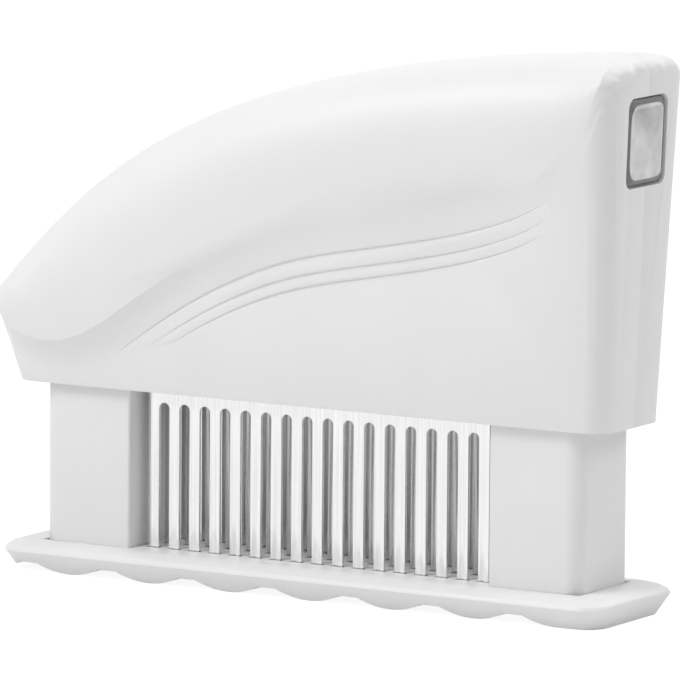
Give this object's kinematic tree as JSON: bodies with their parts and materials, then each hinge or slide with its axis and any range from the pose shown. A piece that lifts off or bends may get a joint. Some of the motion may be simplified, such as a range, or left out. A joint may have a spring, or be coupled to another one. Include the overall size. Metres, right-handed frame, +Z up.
{
  "type": "blade meat tenderizer",
  "caption": "White hand-pressed blade meat tenderizer: domed grip housing sliding on two columns over a slotted base plate.",
  "frame": {"origin": "on the worktop plane, at the middle of the whole object's length and depth", "axes": "+X along the length towards the tall end with the badge, +Y towards the rear shell, +Z up"},
  "size_m": [0.157, 0.0356, 0.1209],
  "materials": {
    "white_plastic": "satin",
    "grey_nylon": "satin",
    "blade_steel": "polished",
    "plated_steel": "satin",
    "badge_chrome": "polished"
  },
  "bodies": {
    "base": {"base_plate": "white_plastic", "left_column": "white_plastic", "right_column": "white_plastic", "column_screws": "plated_steel", "left_spring": "plated_steel", "right_spring": "plated_steel"},
    "handle": {"front_shell": "white_plastic", "rear_shell": "white_plastic", "shell_screws": "plated_steel", "end_badge": "badge_chrome", "blade_comb_front": "blade_steel", "blade_comb_middle": "blade_steel", "blade_comb_rear": "blade_steel", "front_clamp_bar": "grey_nylon", "front_spacer_bar": "grey_nylon", "rear_spacer_bar": "grey_nylon", "rear_clamp_bar": "grey_nylon", "pack_bolts": "plated_steel", "pack_nuts": "plated_steel", "left_guide_post": "plated_steel", "right_guide_post": "plated_steel", "left_stop_washer": "plated_steel", "right_stop_washer": "plated_steel", "left_stop_screw": "plated_steel", "right_stop_screw": "plated_steel"}
  },
  "joints": [
    {"name": "handle_press", "type": "slide", "parent": "base", "child": "handle", "axis": [0, 0, -1], "range_m": [0, 0.022], "stiffness_N_per_m": 1600, "springref_m": -0.004, "deforming": ["left_spring", "right_spring"]}
  ]
}
